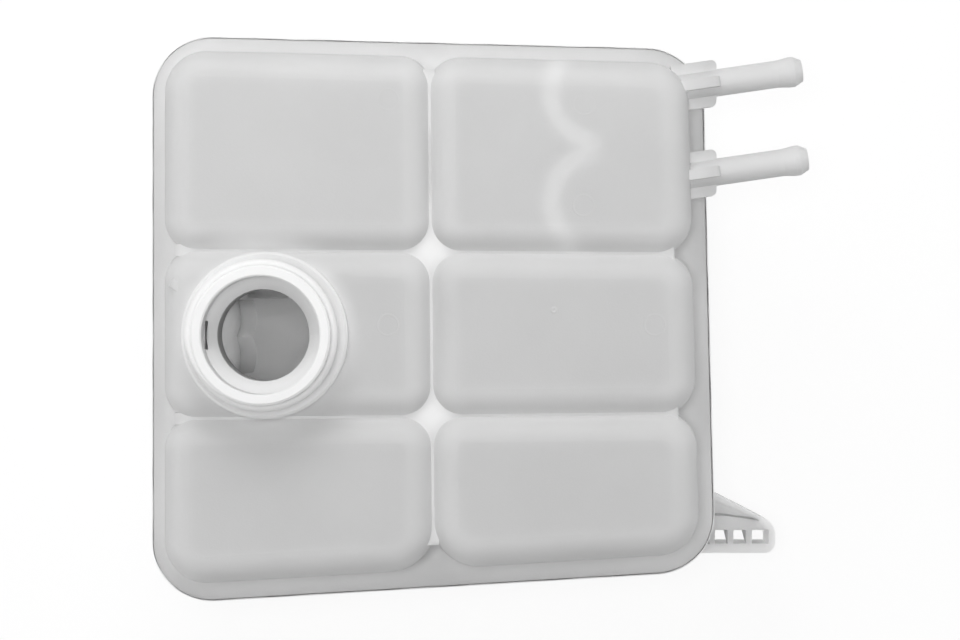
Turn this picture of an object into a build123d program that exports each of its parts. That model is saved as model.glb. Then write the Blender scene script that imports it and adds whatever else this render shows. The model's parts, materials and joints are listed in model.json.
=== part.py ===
# Coolant expansion tank: two moulded half shells, welded face to face along a flange.
# Millimetres. +Z up, Z = 0 on the surface the tank stands on, +X to the nipples, +Y to the rear.
import os
from collections import namedtuple
from math import hypot

from build123d import *

# Weld flange: where its four straight sides would meet, in plan
FLANGE_LEFT_X = -112.8
FLANGE_RIGHT_REAR_X = 107.6
FLANGE_RIGHT_FRONT_X = 112.8
FLANGE_REAR_LEFT_Y = 114.0
FLANGE_REAR_RIGHT_Y = 108.4
FLANGE_FRONT_LEFT_Y = -114.0
FLANGE_FRONT_RIGHT_Y = -100.4
FLANGE_CORNER_R = 24.0
FLANGE_THICK = 4.0
FLANGE_REACH = 8.0
FLANGE_REACH_FRONT = 9.5
WELD_STEP = 1.2

# Valleys between the lobes, in plan
COLUMN_REAR_X = -1.5
COLUMN_FRONT_X = 0.6
ROW_REAR_LEFT_Y = 27.2
ROW_REAR_RIGHT_Y = 25.6
ROW_FRONT_LEFT_Y = -38.4
ROW_FRONT_RIGHT_Y = -36.0
VALLEY_DEPTH = 5.8
VALLEY_FLAT = 4.6
CROSSING_PAD_R = 7.0

# Shell
UPPER_DEPTH = 38.0
LOWER_DEPTH = 78.0
WALL = 2.8
BAFFLE = 2.6
UPPER_DRAFT = 1.5
LOWER_DRAFT = 1.0
SHOULDER_R = 11.0
INNER_CHAMFER = 5.6
TANK_CORNER_R = 17.0
CROSSING_R = 13.5
NOTCH_LEFT_R = 13.5
NOTCH_RIGHT_R = 15.0
NOTCH_REAR_R = 13.5
NOTCH_FRONT_R = 19.0
NOTCH_LEFT_DEPTH = 4.7
NOTCH_RIGHT_DEPTH = 8.0
NOTCH_REAR_DEPTH = 6.0
NOTCH_FRONT_DEPTH = 10.5

# Windows through the baffles
WINDOW_WIDTH = 28.0
WINDOW_UPPER_HEIGHT = 14.0
WINDOW_SILL = 13.0
SLOT_REAR_Y = 71.5
SLOT_FRONT_Y = 47.9
SLOT_HEIGHT = 12.0

# Filler neck
NECK_X = -64.2
NECK_Y = -5.8
NECK_HEIGHT = 24.0
NECK_ROOT_R = 26.4
NECK_SEAT_R = 22.3
NECK_LIP_R = 17.6
NECK_SEAT_DEPTH = 11.0
NECK_CONE_DEPTH = 4.0
LIP_WALL = 2.8
LIP_DROP = 6.0
COLLAR_R = 32.0
COLLAR_HEIGHT = 5.5
VENT_WIDTH = 1.2
VENT_LENGTH = 11.0

# Lug beside the neck
LUG_X = -97.3
LUG_Y = 12.7
LUG_LENGTH = 8.0
LUG_WIDTH = 4.0
LUG_DROP = 1.2
LUG_TURN = -29.0

# Deflector walls under the deck, behind the nipples
DEFLECTOR_X = 63.6
DEFLECTOR_REAR_Y = 86.9
DEFLECTOR_FRONT_Y = 45.9
DEFLECTOR_R = 18.0
DEFLECTOR_WALL = 3.0
DEFLECTOR_GAP = 6.0
DEFLECTOR_REAR_BEGIN = 128.0
DEFLECTOR_REAR_SPAN = 142.0
DEFLECTOR_FRONT_BEGIN = 92.0
DEFLECTOR_FRONT_SPAN = 170.0

# Hose nipples
NIPPLE_REAR_Y = 90.3
NIPPLE_FRONT_Y = 55.4
NIPPLE_REAR_TIP = 50.6
NIPPLE_FRONT_TIP = 52.9
NIPPLE_START_X = 94.0
NIPPLE_ABOVE_WELD = 22.0
NIPPLE_ANGLE = 8.2
NIPPLE_R = 5.3
NIPPLE_BARB_R = 5.9
NIPPLE_NOSE_R = 4.3
NIPPLE_FLARE = 4.5
NIPPLE_LAND = 2.0
NIPPLE_NOSE = 3.2
NIPPLE_BORE_R = 3.4
RIB_THICK = 4.0
RIB_SPAN = 9.0
RIB_REAR_LENGTH = 18.2
RIB_FRONT_LENGTH = 15.6
RIB_CORNER_R = 2.2

# Ladder bracket on the lower shell, measured in plan from its root inside the tank wall
BRACKET_ROOT_X = 94.0
BRACKET_LENGTH = 46.0
BRACKET_DROP = 30.0
BRACKET_HEIGHT = 22.0
BRACKET_FRONT_Y = -96.0
BRACKET_SLOPE_INSET = 4.0
BRACKET_SLOPE_REAR_Y = -62.5
BRACKET_SLOPE_FRONT_Y = -84.0
BRACKET_REAR_R = 7.0
BRACKET_FRONT_R = 4.5
BRACKET_END_WALL = 2.6
BRACKET_FRONT_WALL = 3.8
BRACKET_SLOPE_WALL = 3.7
BRACKET_PLATE_REAR_Y = -80.7
BRACKET_PLATE_FRONT_Y = -86.5
BRACKET_WINDOW_INSET = 13.0
BRACKET_BAR_COUNT = 3
BRACKET_BAR_PITCH = 7.6
BRACKET_BAR_THICK = 2.4
BRACKET_BAR_LIP = 3.0
BRACKET_LAST_BAR_GAP = 10.8
BRACKET_POCKET_INSET = 11.5
BRACKET_POCKET_TIP_GAP = 6.6
BRACKET_POCKET_TIP_Y = -82.6
BRACKET_POCKET_DEPTH = 14.0

# Mounting channel in the left wall
CHANNEL_Y = -7.0
CHANNEL_WIDTH = 25.0
CHANNEL_END_X = -80.4
CHANNEL_LOBE_R = 17.0
CHANNEL_LOBE_PITCH = 16.0
CHANNEL_DROP = 7.0

# Feed outlet in a recess of the rear wall
OUTLET_X = -50.0
OUTLET_Z = 21.0
OUTLET_RECESS_Y = 87.0
OUTLET_RECESS_WIDTH = 44.0
OUTLET_RECESS_HEIGHT = 44.0
OUTLET_RECESS_R = 8.0
OUTLET_LENGTH = 31.0
OUTLET_R = 9.5
OUTLET_BARB_R = 10.3
OUTLET_NOSE_R = 8.6
OUTLET_FLARE = 4.0
OUTLET_LAND = 2.0
OUTLET_NOSE = 3.0
OUTLET_BORE_R = 7.2

# Floor rib beside the channel
FLOOR_RIB_Y = 10.6
FLOOR_RIB_LENGTH = 22.0
FLOOR_RIB_THICK = 2.4
FLOOR_RIB_HEIGHT = 12.0

WELD_Z = LOWER_DEPTH
DECK_Z = WELD_Z + UPPER_DEPTH
BEYOND = 20.0

# An outer side of the tank has a flange and a notch where a valley meets it; a valley line has neither
Side = namedtuple("Side", "start end reach notch_r notch_depth", defaults=(None, None, None))

FRONT = Side((FLANGE_LEFT_X, FLANGE_FRONT_LEFT_Y), (FLANGE_RIGHT_FRONT_X, FLANGE_FRONT_RIGHT_Y),
             FLANGE_REACH_FRONT, NOTCH_FRONT_R, NOTCH_FRONT_DEPTH)
RIGHT = Side((FLANGE_RIGHT_FRONT_X, FLANGE_FRONT_RIGHT_Y), (FLANGE_RIGHT_REAR_X, FLANGE_REAR_RIGHT_Y),
             FLANGE_REACH, NOTCH_RIGHT_R, NOTCH_RIGHT_DEPTH)
REAR = Side((FLANGE_LEFT_X, FLANGE_REAR_LEFT_Y), (FLANGE_RIGHT_REAR_X, FLANGE_REAR_RIGHT_Y),
            FLANGE_REACH, NOTCH_REAR_R, NOTCH_REAR_DEPTH)
LEFT = Side((FLANGE_LEFT_X, FLANGE_FRONT_LEFT_Y), (FLANGE_LEFT_X, FLANGE_REAR_LEFT_Y),
            FLANGE_REACH, NOTCH_LEFT_R, NOTCH_LEFT_DEPTH)
COLUMN = Side((COLUMN_FRONT_X, FLANGE_FRONT_LEFT_Y), (COLUMN_REAR_X, FLANGE_REAR_LEFT_Y))
ROW_REAR = Side((FLANGE_LEFT_X, ROW_REAR_LEFT_Y), (FLANGE_RIGHT_REAR_X, ROW_REAR_RIGHT_Y))
ROW_FRONT = Side((FLANGE_LEFT_X, ROW_FRONT_LEFT_Y), (FLANGE_RIGHT_REAR_X, ROW_FRONT_RIGHT_Y))

# Each cell as its front, right, rear and left side
CELLS = [(front, right, rear, left)
         for front, rear in ((ROW_REAR, REAR), (ROW_FRONT, ROW_REAR), (FRONT, ROW_FRONT))
         for left, right in ((LEFT, COLUMN), (COLUMN, RIGHT))]


def bound(side, inset, reverse):
    """Half plane on the inner side of a line, as its unit normal and level."""
    start, end = (side.end, side.start) if reverse else (side.start, side.end)
    dx = end[0] - start[0]
    dy = end[1] - start[1]
    span = hypot(dx, dy)
    return -dy / span, dx / span, (dx * start[1] - dy * start[0]) / span + inset


def meet(p, q):
    """Point where two bounds meet."""
    det = p[0] * q[1] - p[1] * q[0]
    return (p[2] * q[1] - q[2] * p[1]) / det, (p[0] * q[2] - q[0] * p[2]) / det


def bounds_of(sides, insets):
    """Bounds of a front, right, rear and left side, walked anticlockwise."""
    turns = (False, False, True, True)
    return [bound(side, inset, turn) for side, inset, turn in zip(sides, insets, turns)]


def prism(points, radii, depth, draft_angle):
    """Prism on the weld plane, up or down, with rounded corners and drafted walls."""
    outline = make_face(Polyline(*points, close=True))
    for point, radius in zip(points, radii):
        vertex = min(outline.vertices(), key=lambda v: hypot(v.X - point[0], v.Y - point[1]))
        outline = fillet(vertex, radius)
    return extrude(Plane.XY.offset(WELD_Z) * outline, amount=depth, taper=draft_angle)


def corners(sides, insets):
    """Front left, front right, rear right and rear left corner between four sides."""
    bounds = bounds_of(sides, insets)
    return [meet(bounds[i - 1], bounds[i]) for i in range(4)]


def corner_radius(sides, i):
    """Plan radius of a lobe where two of its sides meet."""
    outer = [side for side in (sides[i - 1], sides[i]) if side.reach is not None]
    if len(outer) == 2:
        return TANK_CORNER_R
    return outer[0].notch_r if outer else CROSSING_R


def deck_edges(sides, skin, depth, draft_angle):
    """Deck edges of a block over one cell that is moved inwards by skin."""
    insets = [BAFFLE / 2 - WALL + skin if side.reach is None else side.reach + skin for side in sides]
    radii = [corner_radius(sides, i) - skin for i in range(4)]
    body = prism(corners(sides, insets), radii, depth, draft_angle)
    return [e for e in body.edges() if abs(e.center().Z - WELD_Z - depth) < 0.001]


def pillows(depth, draft_angle):
    """Outer form of the six lobes, with full round shoulders."""
    return [fillet(deck_edges(sides, 0, depth, draft_angle), SHOULDER_R) for sides in CELLS]


def hollows(depth, draft_angle):
    """Inside of the six cells, one wall in, with bevelled shoulders."""
    return [chamfer(deck_edges(sides, WALL, depth, draft_angle), INNER_CHAMFER) for sides in CELLS]


def valleys(depth):
    """Narrow floors of the valleys, which end in the notches, and round pads where they cross."""
    level = depth - VALLEY_DEPTH if depth > 0 else depth + VALLEY_DEPTH
    half = VALLEY_FLAT / 2
    ends = [side.reach + side.notch_depth for side in (FRONT, RIGHT, REAR, LEFT)]
    plans = [corners((line, RIGHT, line, LEFT), (-half, ends[1], -half, ends[3]))
             for line in (ROW_REAR, ROW_FRONT)]
    plans.append(corners((FRONT, COLUMN, REAR, COLUMN), (ends[0], -half, ends[2], -half)))
    bars = [prism(plan, (), level, 0) for plan in plans]
    crossings = [meet(bound(COLUMN, 0, False), bound(line, 0, False)) for line in (ROW_REAR, ROW_FRONT)]
    return bars + [extrude(Pos(x, y, WELD_Z) * Circle(CROSSING_PAD_R), amount=level) for x, y in crossings]


def flange(inset, thick):
    """Weld flange slab on the weld plane."""
    plan = corners((FRONT, RIGHT, REAR, LEFT), (inset,) * 4)
    return prism(plan, (FLANGE_CORNER_R - inset,) * 4, thick, 0)


def turned(points):
    """Solid of revolution about Z from (radius, height) points."""
    return revolve(make_face(Plane.XZ * Polyline(*points, close=True)), Axis.Z)


def middle(line, sides):
    """Middle of a valley line between two of the sides that it runs into."""
    ends = [meet(bound(line, 0, False), bound(side, side.reach or 0, False)) for side in sides]
    return (ends[0][0] + ends[1][0]) / 2, (ends[0][1] + ends[1][1]) / 2


def baffle_spots():
    """Middle of each baffle wall between two cells, with the turn that lays X along it."""
    across = ((ROW_REAR, REAR), (ROW_FRONT, ROW_REAR), (FRONT, ROW_FRONT))
    along = ((LEFT, COLUMN), (COLUMN, RIGHT))
    spots = [(*middle(COLUMN, ends), 90) for ends in across]
    return spots + [(*middle(line, ends), 0) for line in (ROW_REAR, ROW_FRONT) for ends in along]


def openings(width, low, high):
    """A box through the middle of every baffle wall, between two heights."""
    through = 3 * BAFFLE
    return [Pos(x, y, (low + high) / 2) * Rot(0, 0, turn) * Box(width, through, high - low)
            for x, y, turn in baffle_spots()]


def spout(length, tube_r, barb_r, nose_r, flare, land, nose):
    """Hose tube along +Z with a flared barb at its end."""
    crest = length - nose
    return turned([(0, 0), (tube_r, 0), (tube_r, crest - land - flare), (barb_r, crest - land),
                   (barb_r, crest), (nose_r, length), (0, length)])


def filler_neck():
    """Outer form of the neck, and what is bored out of it."""
    rim = DECK_Z + NECK_HEIGHT
    seat = rim - NECK_SEAT_DEPTH
    lip = seat - NECK_CONE_DEPTH
    under = DECK_Z - SHOULDER_R
    outer = turned([(0, under), (COLLAR_R, under), (COLLAR_R, DECK_Z + COLLAR_HEIGHT - 1),
                    (COLLAR_R - 1, DECK_Z + COLLAR_HEIGHT), (NECK_ROOT_R, DECK_Z + COLLAR_HEIGHT),
                    (NECK_ROOT_R, rim - 0.8), (NECK_ROOT_R - 0.8, rim), (0, rim)])
    bore = turned([(0, under), (NECK_LIP_R, under), (NECK_LIP_R, lip), (NECK_SEAT_R, seat),
                   (NECK_SEAT_R, rim - 0.6), (NECK_SEAT_R + 0.6, rim), (NECK_SEAT_R + 0.6, rim + 1),
                   (0, rim + 1)])
    lip_r = NECK_LIP_R + LIP_WALL
    void = turned([(lip_r, under), (NECK_SEAT_R + 0.6, under), (NECK_SEAT_R + 0.6, seat - 2 * LIP_WALL),
                   (lip_r, lip - LIP_WALL)])
    skirt = turned([(NECK_LIP_R, DECK_Z - WALL - LIP_DROP), (lip_r, DECK_Z - WALL - LIP_DROP),
                    (lip_r, DECK_Z), (NECK_LIP_R, DECK_Z)])
    vent_x = VENT_WIDTH / 2 + 0.3 - NECK_SEAT_R
    vent = Pos(vent_x, 0, lip) * Box(VENT_WIDTH, VENT_LENGTH, 2 * NECK_CONE_DEPTH)
    here = Pos(NECK_X, NECK_Y, 0)
    return here * outer, here * bore, here * void, here * skirt, here * vent


def nipples():
    """Two hose nipples with ribbed roots, and their bores."""
    solids = []
    bores = []
    for y, length in ((NIPPLE_REAR_Y, NIPPLE_REAR_TIP), (NIPPLE_FRONT_Y, NIPPLE_FRONT_TIP)):
        place = Pos(NIPPLE_START_X, y, WELD_Z + NIPPLE_ABOVE_WELD) * Rot(0, 0, NIPPLE_ANGLE)
        tube = Rot(0, 90, 0) * spout(length, NIPPLE_R, NIPPLE_BARB_R, NIPPLE_NOSE_R,
                                     NIPPLE_FLARE, NIPPLE_LAND, NIPPLE_NOSE)
        plate = make_face(Polyline((0, -RIB_SPAN), (RIB_FRONT_LENGTH, -RIB_SPAN),
                                   (RIB_REAR_LENGTH, RIB_SPAN), (0, RIB_SPAN), close=True))
        plate = fillet(plate.vertices().sort_by(Axis.X)[2:], RIB_CORNER_R)
        fins = Pos(0, 0, -RIB_THICK / 2) * extrude(plate, amount=RIB_THICK)
        solids += [place * tube, place * fins, place * Rot(90, 0, 0) * fins]
        bore = Pos(0, 0, length / 2) * Cylinder(NIPPLE_BORE_R, length + BEYOND)
        bores.append(place * Rot(0, 90, 0) * bore)
    return solids, bores


def bracket():
    """Ladder bracket: sloping rib, plate, end wall and front wall tied by gussets."""
    top = WELD_Z - BRACKET_DROP
    end_x = BRACKET_ROOT_X + BRACKET_LENGTH
    slope_x = BRACKET_ROOT_X + BRACKET_SLOPE_INSET
    outline = make_face(Polyline((slope_x, BRACKET_SLOPE_REAR_Y), (end_x, BRACKET_SLOPE_FRONT_Y),
                                 (end_x, BRACKET_FRONT_Y), (BRACKET_ROOT_X, BRACKET_FRONT_Y),
                                 (BRACKET_ROOT_X, BRACKET_SLOPE_REAR_Y), close=True))
    outline = fillet(outline.vertices().group_by(Axis.X)[-1].sort_by(Axis.Y)[1], BRACKET_REAR_R)
    outline = fillet(outline.vertices().group_by(Axis.Y)[0].sort_by(Axis.X)[-1], BRACKET_FRONT_R)
    body = extrude(Plane.XY.offset(top - BRACKET_HEIGHT) * outline, amount=BRACKET_HEIGHT)

    inner_y = BRACKET_FRONT_Y + BRACKET_FRONT_WALL
    window_x = BRACKET_ROOT_X + BRACKET_WINDOW_INSET
    window_length = end_x - BRACKET_END_WALL - window_x
    window_width = BRACKET_PLATE_FRONT_Y - inner_y
    body -= Pos(window_x + window_length / 2, inner_y + window_width / 2, top) * Box(
        window_length, window_width, 3 * BRACKET_HEIGHT)

    fall = (BRACKET_SLOPE_FRONT_Y - BRACKET_SLOPE_REAR_Y) / (end_x - slope_x)
    pocket_x = BRACKET_ROOT_X + BRACKET_POCKET_INSET
    pocket_y = BRACKET_SLOPE_REAR_Y + fall * (pocket_x - slope_x) - BRACKET_SLOPE_WALL * hypot(1, fall)
    tip_x = end_x - BRACKET_POCKET_TIP_GAP
    pocket = make_face(Polyline((pocket_x, pocket_y), (pocket_x, BRACKET_PLATE_REAR_Y),
                                ((pocket_x + tip_x) / 2, BRACKET_PLATE_REAR_Y),
                                (tip_x, BRACKET_POCKET_TIP_Y), close=True))
    body -= extrude(Plane.XY.offset(top) * pocket, amount=-BRACKET_POCKET_DEPTH)

    gusset = make_face(Polyline((BRACKET_PLATE_FRONT_Y, top), (inner_y, top),
                                (inner_y, top - BRACKET_BAR_LIP),
                                (BRACKET_PLATE_FRONT_Y, top - BRACKET_HEIGHT), close=True))
    bar = extrude(Plane.YZ * gusset, amount=BRACKET_BAR_THICK)
    for i in range(BRACKET_BAR_COUNT):
        bar_x = end_x - BRACKET_LAST_BAR_GAP - i * BRACKET_BAR_PITCH
        body += Pos(bar_x - BRACKET_BAR_THICK / 2, 0, 0) * bar
    return body


def channel(skin):
    """Mounting channel, open to the left and below, with a two-lobed end."""
    width = CHANNEL_WIDTH + 2 * skin
    centre_x = CHANNEL_END_X - CHANNEL_LOBE_R
    reach = CHANNEL_LOBE_R + skin
    half_pitch = CHANNEL_LOBE_PITCH / 2
    lobe_ys = (CHANNEL_Y - half_pitch, CHANNEL_Y + half_pitch)
    lobes = Sketch() + [Pos(centre_x, y) * Circle(reach) for y in lobe_ys]
    plan = lobes & Pos(centre_x + reach / 2, CHANNEL_Y) * Rectangle(reach, width)
    plan += Pos(centre_x - BEYOND / 2, CHANNEL_Y) * Rectangle(BEYOND, width)
    return extrude(Plane.XY.offset(-BEYOND) * plan, amount=BEYOND + WELD_Z - CHANNEL_DROP + skin)


def outlet_recess(skin):
    """Recess for the feed outlet, open to the rear and below."""
    depth = 2 * BEYOND + skin
    height = OUTLET_RECESS_HEIGHT + skin
    body = Pos(OUTLET_X, OUTLET_RECESS_Y - skin + depth / 2, height / 2 - BEYOND / 2) * Box(
        OUTLET_RECESS_WIDTH + 2 * skin, depth, height + BEYOND)
    return fillet(body.edges().filter_by(Axis.Z).group_by(Axis.Y)[0], OUTLET_RECESS_R + skin)


def upper_shell():
    """Deck half with neck, nipples and deflectors."""
    neck, bore, void, skirt, vent = filler_neck()
    tubes, tube_bores = nipples()
    outer = flange(WELD_STEP, FLANGE_THICK)
    outer += pillows(UPPER_DEPTH, UPPER_DRAFT)
    outer += valleys(UPPER_DEPTH)
    outer += [neck] + tubes
    outer += Pos(LUG_X, LUG_Y, DECK_Z - SHOULDER_R / 2 - LUG_DROP) * Rot(0, 0, LUG_TURN) * Box(
        LUG_LENGTH, LUG_WIDTH, SHOULDER_R)
    cavity = Part() + hollows(UPPER_DEPTH - WALL, UPPER_DRAFT)
    walls = Sketch()
    for y, begin, span in ((DEFLECTOR_REAR_Y, DEFLECTOR_REAR_BEGIN, DEFLECTOR_REAR_SPAN),
                           (DEFLECTOR_FRONT_Y, DEFLECTOR_FRONT_BEGIN, DEFLECTOR_FRONT_SPAN)):
        walls += trace(CenterArc((DEFLECTOR_X, y), DEFLECTOR_R, begin, span), DEFLECTOR_WALL)
    cavity -= extrude(Plane.XY.offset(WELD_Z + DEFLECTOR_GAP) * walls, amount=UPPER_DEPTH)
    shell = outer - cavity
    shell -= void
    shell += skirt
    shell -= [bore, vent] + tube_bores
    shell -= openings(WINDOW_WIDTH, WELD_Z - 1, WELD_Z + WINDOW_UPPER_HEIGHT)
    slot_z = DECK_Z - VALLEY_DEPTH - WALL - SLOT_HEIGHT / 2
    slot = Pos((COLUMN_REAR_X + COLUMN_FRONT_X) / 2, (SLOT_REAR_Y + SLOT_FRONT_Y) / 2, slot_z)
    return shell - slot * Box(3 * BAFFLE, SLOT_REAR_Y - SLOT_FRONT_Y, SLOT_HEIGHT)


def lower_shell():
    """Tub half with bracket, channel and feed outlet."""
    outer = flange(0, -FLANGE_THICK)
    outer += pillows(-LOWER_DEPTH, LOWER_DRAFT)
    outer += valleys(-LOWER_DEPTH)
    outer -= [channel(0), outlet_recess(0)]
    outlet = Pos(OUTLET_X, OUTLET_RECESS_Y - WALL / 2, OUTLET_Z) * Rot(-90, 0, 0)
    outer += outlet * spout(OUTLET_LENGTH + WALL / 2, OUTLET_R, OUTLET_BARB_R, OUTLET_NOSE_R,
                            OUTLET_FLARE, OUTLET_LAND, OUTLET_NOSE)
    outer += bracket()
    cavity = Part() + hollows(WALL - LOWER_DEPTH, LOWER_DRAFT)
    cavity -= [channel(WALL), outlet_recess(WALL)]
    rib = Pos(CHANNEL_END_X + FLOOR_RIB_LENGTH / 2, FLOOR_RIB_Y, FLOOR_RIB_HEIGHT / 2)
    cavity -= rib * Box(FLOOR_RIB_LENGTH, FLOOR_RIB_THICK, FLOOR_RIB_HEIGHT)
    shell = outer - cavity
    shell -= outlet * Cylinder(OUTLET_BORE_R, 2 * (OUTLET_LENGTH + BEYOND))
    shell -= openings(WINDOW_WIDTH, WINDOW_SILL, WELD_Z + 1)
    return shell


def main():
    shells = {"upper_shell": upper_shell(), "lower_shell": lower_shell()}
    boxes = [shell.bounding_box() for shell in shells.values()]
    middle_x = (min(b.min.X for b in boxes) + max(b.max.X for b in boxes)) / 2
    middle_y = (min(b.min.Y for b in boxes) + max(b.max.Y for b in boxes)) / 2
    os.makedirs("parts", exist_ok=True)
    for name, shell in shells.items():
        export_step(Pos(-middle_x, -middle_y, 0) * shell, f"parts/{name}.step")


main()
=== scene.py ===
"""Looks of the coolant expansion tank: milky translucent plastic on a white floor, seen straight from above."""
import json
import math

import bmesh
import bpy
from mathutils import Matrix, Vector


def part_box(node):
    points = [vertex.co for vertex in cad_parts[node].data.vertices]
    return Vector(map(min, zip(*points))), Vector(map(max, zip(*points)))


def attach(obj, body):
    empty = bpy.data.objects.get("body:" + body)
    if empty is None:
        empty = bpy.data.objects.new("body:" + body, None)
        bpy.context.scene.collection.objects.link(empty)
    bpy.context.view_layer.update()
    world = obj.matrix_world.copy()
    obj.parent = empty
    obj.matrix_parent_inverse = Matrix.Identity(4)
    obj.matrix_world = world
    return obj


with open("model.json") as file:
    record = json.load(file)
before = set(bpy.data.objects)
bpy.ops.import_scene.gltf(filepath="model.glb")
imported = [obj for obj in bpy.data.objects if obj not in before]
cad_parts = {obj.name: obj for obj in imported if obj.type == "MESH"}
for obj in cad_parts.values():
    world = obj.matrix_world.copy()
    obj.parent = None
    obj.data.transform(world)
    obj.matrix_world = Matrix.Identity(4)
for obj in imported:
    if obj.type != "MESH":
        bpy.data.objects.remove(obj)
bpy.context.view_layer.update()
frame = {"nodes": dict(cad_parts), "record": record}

MM = 0.001
UPPER = frame["nodes"]["upper_shell"]
LOWER = frame["nodes"]["lower_shell"]
WELD_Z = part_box("upper_shell")[0][2]
NECK = Vector(next(m["pos_m"] for m in frame["record"]["mounts"] if m["name"] == "cap_thread"))

# Camera: one metre above the weld plane, offset in plan from the neck's axis
CAMERA_ABOVE_WELD = 1.0
CAMERA_FROM_NECK = Vector((82.6 * MM, 5.8 * MM))
CAMERA_LENS = 93.75
SENSOR_WIDTH = 36.0

# Studio: name, place, size in metres and watts of each lamp
LAMPS = (("top", (NECK.x + 0.02, NECK.y + 0.03, 1.3), 0.3, 5.4),
         ("rear", (-0.1, 0.45, 0.5), 0.4, 1.85),
         ("front", (0.15, -0.8, 0.3), 0.5, 0.2),
         ("right", (0.8, 0.1, 0.3), 0.5, 1.2),
         ("left", (-0.75, -0.2, 0.25), 0.5, 1.3))
AMBIENT = 0.44
FLOOR_SIZE = 12
FLOOR_SHADE = 0.9
FLOOR_GLOW_SHARE = 0.85

# Moulding marks on the deck, in plan from the neck's axis
GATE_MARK = Vector((111.1, 9.6)) * MM
GATE_R = 0.8 * MM
GATE_EDGE = 0.7 * MM
GATE_RISE = 0.3 * MM
GATE_SHADE = 1.12
EJECTOR_MARKS = [Vector(p) * MM for p in (
    (47.1, 90.8), (47.1, 3.9), (149.9, 3.9), (122.8, 88.8), (122.4, 49.9))]
EJECTOR_R = 4.0 * MM
EJECTOR_EDGE = 0.5 * MM
EJECTOR_RISE = 0.08 * MM
EJECTOR_SHADE = 1.03

# Plastic of both shells: cloudy colour, satin finish and fine grain
CLOUD_LOW = (0.93, 0.93, 0.93, 1)
CLOUD_HIGH = (0.97, 0.97, 0.97, 1)
ROUGH_LOW = 0.48
ROUGH_HIGH = 0.62
GRAIN_RISE = 0.06 * MM
BUMP_STRENGTH = 0.6
PLASTIC_IOR = 1.25

# The lower shell scatters light deep in its wall
TUB_CLEAR = 0.12
TUB_SCATTER = 25 * MM

# The upper shell is clearer where it is thin. Its colour is darker there as painted shade, and whiter as
# painted light where it is thick or folded
THIN_PAINTED_SHADE = 0.66
THICK_PAINTED_LIGHT = 0.87
THIN_CLEAR = 0.45
THICK_CLEAR = 0.12
DEEP = 6 * MM
DEEP_THIN = 0.22
DEEP_THICK = 0.65
# Painted light in folds: creases and grooves are whitened, standing in for light coming through the plastic
FOLD = 12 * MM
FOLD_OPEN = 0.9
FOLD_TIGHT = 0.45

# Its neck and nipples stand clear of the tank and take light from all sides; their colour is whitened for it as
# painted light
NECK_FOOT_Z = NECK.z - 23 * MM
NECK_TOP_Z = NECK.z - 2 * MM
TANK_END_X = NECK.x + 172 * MM
TANK_END_FADE = 6 * MM
NIPPLE_MASK = 0.35

# Cap thread on the neck
NECK_R = 26.4 * MM
THREAD_R = 28.9 * MM
THREAD_PITCH = 6 * MM
THREAD_HEIGHT = 10 * MM
THREAD_BELOW_RIM = 2.2 * MM
THREAD_ROOT_HALF = 1.7 * MM
THREAD_CREST_HALF = 0.7 * MM
THREAD_SINK = 0.4 * MM
TURN_STEPS = 72
RUN_OUT_STEPS = 12

# Weld flash
BEAD_R = 0.8 * MM
BEAD_STEP = 1.6 * MM
BEAD_SWELL = 0.16
BEAD_SINK = -0.2
BEAD_ARC_STEPS = 4
LEVEL_TOLERANCE = 0.01 * MM


def link(tree, source, target):
    tree.links.new(source, target)


def node(tree, kind, **values):
    """New node; values set its properties, or its input sockets by name."""
    made = tree.nodes.new(kind)
    for key, value in values.items():
        if hasattr(made, key):
            setattr(made, key, value)
        else:
            made.inputs[key.replace("_", " ")].default_value = value
    return made


def math_node(tree, operation, a, b=None, clamp=False):
    """Result of an operation on numbers or sockets."""
    made = node(tree, "ShaderNodeMath", operation=operation, use_clamp=clamp)
    for socket, value in zip(made.inputs, (a, b)):
        if isinstance(value, (int, float)):
            socket.default_value = value
        elif value is not None:
            link(tree, value, socket)
    return made.outputs[0]


def map_range(tree, value, low, high, to_low=0.0, to_high=1.0):
    """Value from low to high, mapped to another range and held inside it."""
    made = node(tree, "ShaderNodeMapRange", From_Min=low, From_Max=high, To_Min=to_low, To_Max=to_high)
    link(tree, value, made.inputs["Value"])
    return made.outputs["Result"]


def multiply_colour(tree, colour, factor):
    """Colour times a grey factor."""
    made = node(tree, "ShaderNodeVectorMath", operation="SCALE")
    link(tree, colour, made.inputs[0])
    link(tree, factor, made.inputs["Scale"])
    return made.outputs[0]


def noise(tree, coords, scale, detail, roughness):
    made = node(tree, "ShaderNodeTexNoise", Scale=scale, Detail=detail, Roughness=roughness)
    link(tree, coords, made.inputs["Vector"])
    return made.outputs["Fac"]


def empty_material(name):
    """New material with only an output node; gives the material, its tree and the output."""
    material = bpy.data.materials.new(name)
    material.use_nodes = True
    tree = material.node_tree
    tree.nodes.clear()
    return material, tree, node(tree, "ShaderNodeOutputMaterial")


def ring_mask(tree, coords, centres, radius, width):
    """One where the surface lies on a ring about any of the centres, zero elsewhere."""
    total = None
    for centre in centres:
        shift = node(tree, "ShaderNodeVectorMath", operation="SUBTRACT")
        link(tree, coords, shift.inputs[0])
        shift.inputs[1].default_value = (NECK.x + centre.x, NECK.y + centre.y, 0)
        plan = node(tree, "ShaderNodeVectorMath", operation="MULTIPLY")
        link(tree, shift.outputs[0], plan.inputs[0])
        plan.inputs[1].default_value = (1, 1, 0)
        length = node(tree, "ShaderNodeVectorMath", operation="LENGTH")
        link(tree, plan.outputs[0], length.inputs[0])
        gap = math_node(tree, "ABSOLUTE", math_node(tree, "SUBTRACT", length.outputs["Value"], radius))
        ring = math_node(tree, "SUBTRACT", 1.0, math_node(tree, "DIVIDE", gap, width), clamp=True)
        total = ring if total is None else math_node(tree, "MAXIMUM", total, ring)
    return total


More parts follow.
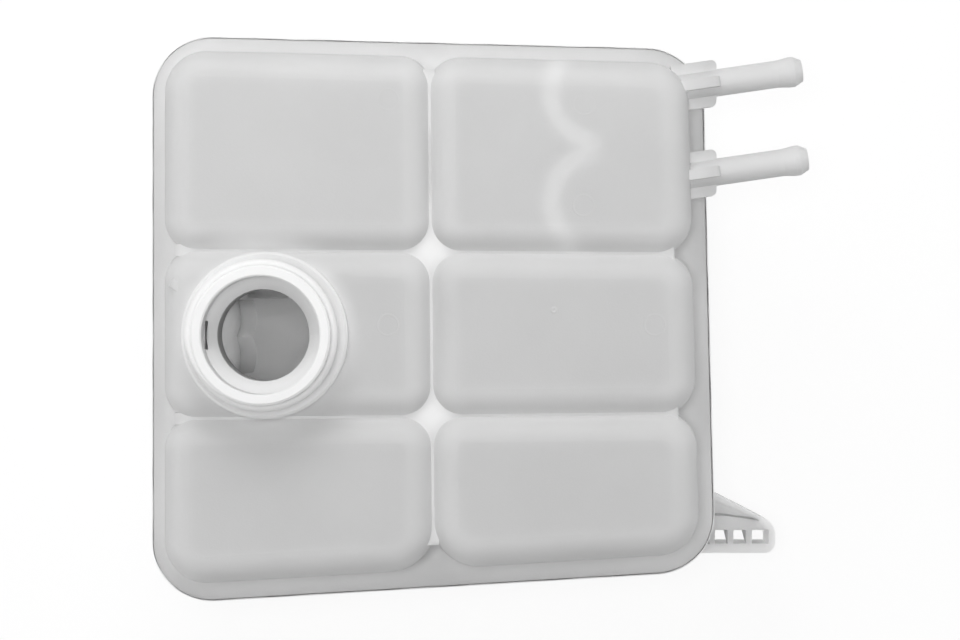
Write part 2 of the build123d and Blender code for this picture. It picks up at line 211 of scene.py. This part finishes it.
def painted_light_mask(tree, coords):
    """Painted light mask: one where much plastic would scatter the light, in folds and up the neck, part way on
    the nipples; zero on a thin wall, as painted shade of a dark hollow behind it.
    """
    # Painted light and shade: thick plastic is whitened and thin walls are darkened
    inward = node(tree, "ShaderNodeAmbientOcclusion", samples=1, inside=True, only_local=True, Distance=DEEP)
    painted_light = map_range(tree, inward.outputs["AO"], DEEP_THIN, DEEP_THICK)
    # Painted light: folds and creases are whitened
    outward = node(tree, "ShaderNodeAmbientOcclusion", samples=1, only_local=True, Distance=FOLD)
    fold_painted_light = map_range(tree, outward.outputs["AO"], FOLD_OPEN, FOLD_TIGHT)
    axes = node(tree, "ShaderNodeSeparateXYZ")
    link(tree, coords, axes.inputs[0])
    # Painted light: the neck, and part way the nipples, are whitened for the light they take from all sides
    up_the_neck = map_range(tree, axes.outputs["Z"], NECK_FOOT_Z, NECK_TOP_Z)
    clear_of_tank = map_range(tree, axes.outputs["X"], TANK_END_X, TANK_END_X + TANK_END_FADE, 0.0, NIPPLE_MASK)
    free = math_node(tree, "MAXIMUM", up_the_neck, clear_of_tank)
    return math_node(tree, "MAXIMUM", math_node(tree, "MAXIMUM", painted_light, fold_painted_light), free)


def milky_plastic(name, deck):
    """Translucent polypropylene. That of the deck is clearer where it is thin and bears the moulding marks, and
    its colour has painted shade on thin walls and painted light where it is thick, folded or standing free.
    """
    material, tree, out = empty_material(name)
    shader = node(tree, "ShaderNodeBsdfPrincipled", IOR=PLASTIC_IOR)
    link(tree, shader.outputs[0], out.inputs["Surface"])
    coords = node(tree, "ShaderNodeTexCoord").outputs["Object"]

    ramp = node(tree, "ShaderNodeValToRGB")
    low, high = ramp.color_ramp.elements
    low.position, low.color = 0.3, CLOUD_LOW
    high.position, high.color = 0.7, CLOUD_HIGH
    link(tree, noise(tree, coords, 30.0, 4.0, 0.55), ramp.inputs["Fac"])
    colour = ramp.outputs["Color"]
    height = math_node(tree, "MULTIPLY", noise(tree, coords, 1400.0, 3.0, 0.6), GRAIN_RISE)
    if deck:
        # Painted light and shade: the deck colour is darkened on thin walls and whitened where the wall is
        # thick, folded or standing free
        painted_light = painted_light_mask(tree, coords)
        colour = multiply_colour(tree, colour, map_range(tree, painted_light, 0, 1, THIN_PAINTED_SHADE, THICK_PAINTED_LIGHT))
        clear = map_range(tree, painted_light, 0, 1, THIN_CLEAR, THICK_CLEAR)
        link(tree, clear, shader.inputs["Transmission Weight"])
        for centres, radius, edge, rise, shade in (
                (EJECTOR_MARKS, EJECTOR_R, EJECTOR_EDGE, EJECTOR_RISE, EJECTOR_SHADE),
                ([GATE_MARK], GATE_R, GATE_EDGE, GATE_RISE, GATE_SHADE)):
            mark = ring_mask(tree, coords, centres, radius, edge)
            height = math_node(tree, "ADD", height, math_node(tree, "MULTIPLY", mark, rise))
            colour = multiply_colour(tree, colour, map_range(tree, mark, 0, 1, 1.0, shade))
    else:
        shader.subsurface_method = "RANDOM_WALK"
        shader.inputs["Transmission Weight"].default_value = TUB_CLEAR
        shader.inputs["Subsurface Weight"].default_value = 1.0
        shader.inputs["Subsurface Radius"].default_value = (1.0, 1.0, 1.0)
        shader.inputs["Subsurface Scale"].default_value = TUB_SCATTER
    link(tree, colour, shader.inputs["Base Color"])
    satin = map_range(tree, noise(tree, coords, 60.0, 3.0, 0.5), 0, 1, ROUGH_LOW, ROUGH_HIGH)
    link(tree, satin, shader.inputs["Roughness"])
    bump = node(tree, "ShaderNodeBump", Strength=BUMP_STRENGTH, Distance=1.0)
    link(tree, height, bump.inputs["Height"])
    link(tree, bump.outputs["Normal"], shader.inputs["Normal"])
    return material


def dress(obj, material):
    """Gives every slot of a CAD node the material."""
    for place in obj.material_slots:
        place.material = material
    if not obj.material_slots:
        obj.data.materials.append(material)


def outline(points):
    """Convex outline of points in plan, anticlockwise."""
    points = sorted({(round(p.x, 6), round(p.y, 6)) for p in points})
    halves = []
    for run in (points, points[::-1]):
        chain = []
        for p in run:
            while len(chain) > 1:
                (ax, ay), (bx, by) = chain[-2:]
                if (bx - ax) * (p[1] - ay) - (by - ay) * (p[0] - ax) > 0:
                    break
                chain.pop()
            chain.append(p)
        halves += chain[:-1]
    return [Vector(p) for p in halves]


def evenly(path, step):
    """Closed path with points about a step apart."""
    points = []
    for here, there in zip(path, path[1:] + path[:1]):
        count = max(1, round((there - here).length / step))
        points += [here.lerp(there, i / count) for i in range(count)]
    return points


def skin(shape, rings):
    """Faces between each ring of points and the next."""
    for ring, following in zip(rings, rings[1:]):
        for k in range(len(ring)):
            shape.faces.new((ring[k - 1], ring[k], following[k], following[k - 1]))


def mesh_piece(name, shape, material):
    """Makes a bmesh an object of the tank."""
    bmesh.ops.recalc_face_normals(shape, faces=shape.faces)
    data = bpy.data.meshes.new(name)
    shape.to_mesh(data)
    shape.free()
    data.shade_smooth()
    data.materials.append(material)
    piece = bpy.data.objects.new(name, data)
    bpy.context.scene.collection.objects.link(piece)
    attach(piece, "root")


def weld_bead(material):
    """Squeezed-out weld flash in the step between the two flanges, a little uneven."""
    level = [v.co for v in UPPER.data.vertices if abs(v.co.z - WELD_Z) < LEVEL_TOLERANCE]
    path = evenly(outline(level), BEAD_STEP)
    profile = [(BEAD_SINK, 0.0), (BEAD_SINK, 1.0)]
    for t in range(BEAD_ARC_STEPS + 1):
        angle = t * math.pi / 2 / BEAD_ARC_STEPS
        profile.append((math.sin(angle), math.cos(angle)))
    shape = bmesh.new()
    rings = []
    for i, point in enumerate(path):
        along = path[(i + 1) % len(path)] - path[i - 1]
        outward = Vector((along.y, -along.x)).normalized()
        radius = BEAD_R * (1 + BEAD_SWELL * math.sin(i * 0.37) * math.sin(i * 0.083 + 1.0))
        ring = []
        for side, rise in profile:
            spot = point + outward * (side * radius)
            ring.append(shape.verts.new((spot.x, spot.y, WELD_Z + rise * radius)))
        rings.append(ring)
    skin(shape, rings + rings[:1])
    mesh_piece("weld_bead", shape, material)


def cap_thread(material):
    """Coarse thread for the cap, one helical ridge that runs out at both ends."""
    start = NECK.z - THREAD_BELOW_RIM - THREAD_HEIGHT
    root = NECK_R - THREAD_SINK
    count = round(THREAD_HEIGHT / THREAD_PITCH * TURN_STEPS)
    shape = bmesh.new()
    rings = []
    for i in range(count + 1):
        angle = 2 * math.pi * i / TURN_STEPS
        run = min(1.0, i / RUN_OUT_STEPS, (count - i) / RUN_OUT_STEPS)
        crest = NECK_R + (THREAD_R - NECK_R) * run
        level = start + THREAD_PITCH * i / TURN_STEPS
        profile = ((root, -THREAD_ROOT_HALF), (crest, -THREAD_CREST_HALF),
                   (crest, THREAD_CREST_HALF), (root, THREAD_ROOT_HALF))
        rings.append([shape.verts.new((NECK.x + radius * math.cos(angle), NECK.y + radius * math.sin(angle),
                                       level + rise)) for radius, rise in profile])
    skin(shape, rings)
    shape.faces.new(rings[0])
    shape.faces.new(rings[-1])
    mesh_piece("cap_thread", shape, material)


def seen_as_background(tree):
    """One for rays that show the background: from the camera, mirrored or through clear plastic."""
    path = node(tree, "ShaderNodeLightPath")
    seen = math_node(tree, "MAXIMUM", path.outputs["Is Camera Ray"], path.outputs["Is Glossy Ray"])
    return math_node(tree, "MAXIMUM", seen, path.outputs["Is Transmission Ray"])


def white_world():
    """White behind the tank, and an even soft light on it."""
    world = bpy.data.worlds.new("studio")
    bpy.context.scene.world = world
    world.use_nodes = True
    tree = world.node_tree
    tree.nodes.clear()
    out = node(tree, "ShaderNodeOutputWorld")
    back = node(tree, "ShaderNodeBackground", Color=(1, 1, 1, 1))
    link(tree, map_range(tree, seen_as_background(tree), 0, 1, AMBIENT, 1.0), back.inputs["Strength"])
    link(tree, back.outputs[0], out.inputs["Surface"])


def white_floor():
    """Floor that looks white and keeps a faint shadow."""
    bpy.ops.mesh.primitive_plane_add(size=FLOOR_SIZE)
    floor = bpy.context.object
    floor.name = "floor"
    paint, tree, out = empty_material("floor_white")
    matte = node(tree, "ShaderNodeBsdfDiffuse", Color=(FLOOR_SHADE, FLOOR_SHADE, FLOOR_SHADE, 1))
    glow = node(tree, "ShaderNodeEmission", Color=(1, 1, 1, 1), Strength=1.0)
    mix = node(tree, "ShaderNodeMixShader")
    link(tree, math_node(tree, "MULTIPLY", seen_as_background(tree), FLOOR_GLOW_SHARE), mix.inputs[0])
    link(tree, matte.outputs[0], mix.inputs[1])
    link(tree, glow.outputs[0], mix.inputs[2])
    link(tree, mix.outputs[0], out.inputs["Surface"])
    floor.data.materials.append(paint)


def lamp(name, place, size, watts):
    """Round soft lamp that points at the middle of the weld plane."""
    data = bpy.data.lights.new(name, "AREA")
    data.shape = "DISK"
    data.size = size
    data.energy = watts
    made = bpy.data.objects.new(name, data)
    bpy.context.scene.collection.objects.link(made)
    made.location = place
    made.rotation_euler = (Vector((0, 0, WELD_Z)) - Vector(place)).to_track_quat("-Z", "Y").to_euler()


def camera_above():
    """Camera that looks straight down."""
    data = bpy.data.cameras.new("camera")
    data.lens = CAMERA_LENS
    data.sensor_width = SENSOR_WIDTH
    camera = bpy.data.objects.new("camera", data)
    bpy.context.scene.collection.objects.link(camera)
    camera.location = (NECK.x + CAMERA_FROM_NECK.x, NECK.y + CAMERA_FROM_NECK.y, WELD_Z + CAMERA_ABOVE_WELD)
    bpy.context.scene.camera = camera


plastic_upper = milky_plastic("milky_plastic_deck", True)
plastic_lower = milky_plastic("milky_plastic_tub", False)
dress(UPPER, plastic_upper)
dress(LOWER, plastic_lower)
weld_bead(plastic_lower)
cap_thread(plastic_upper)

bpy.context.scene.view_settings.view_transform = "Standard"
white_world()
white_floor()
for settings in LAMPS:
    lamp(*settings)
camera_above()
